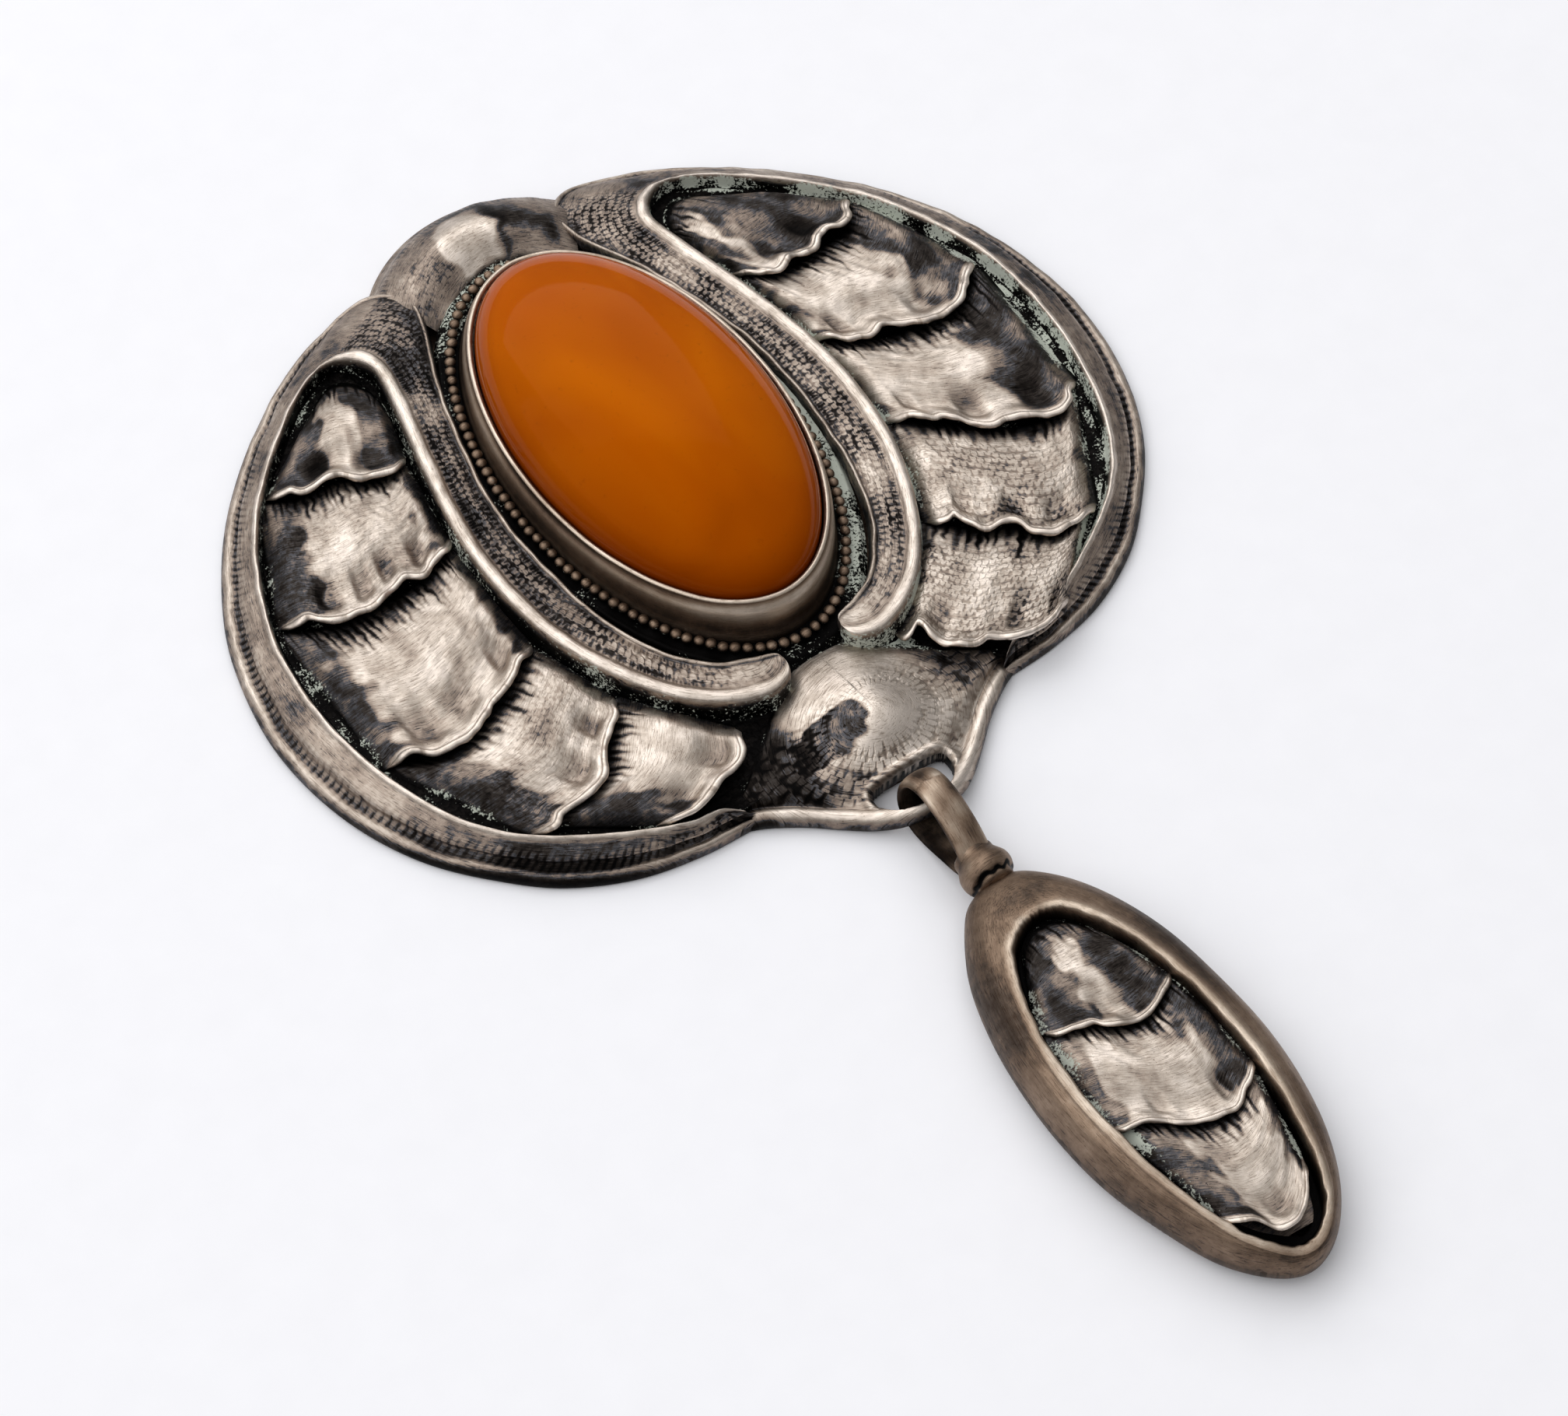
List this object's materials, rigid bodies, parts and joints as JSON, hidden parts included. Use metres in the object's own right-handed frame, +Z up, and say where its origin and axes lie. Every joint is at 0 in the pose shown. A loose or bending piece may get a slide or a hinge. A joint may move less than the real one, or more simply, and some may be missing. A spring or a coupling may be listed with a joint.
{
  "type": "brooch",
  "caption": "Large darkened-silver brooch with an oval amber cabochon in a beaded collet, chased leaf-like wings, a lobe above and a long drop hanging from a slotted tail.",
  "frame": {"origin": "middle of the bounding box's bottom face, on the surface that the brooch lies on", "axes": "+Y from the drop towards the lobe above the stone, +Z up out of the brooch's face, +X to the wing on the right"},
  "size_m": [0.0678, 0.1048, 0.011],
  "materials": {
    "plate_silver": "darkened silver, worn satin on the crests",
    "amber": "polished opaque butterscotch amber",
    "pin_silver": "plain satin silver",
    "drop_silver": "darkened silver, worn satin on the crests"
  },
  "bodies": {
    "root": {"plate": "plate_silver", "amber": "amber", "pin": "pin_silver", "drop": "drop_silver"}
  },
  "joints": []
}
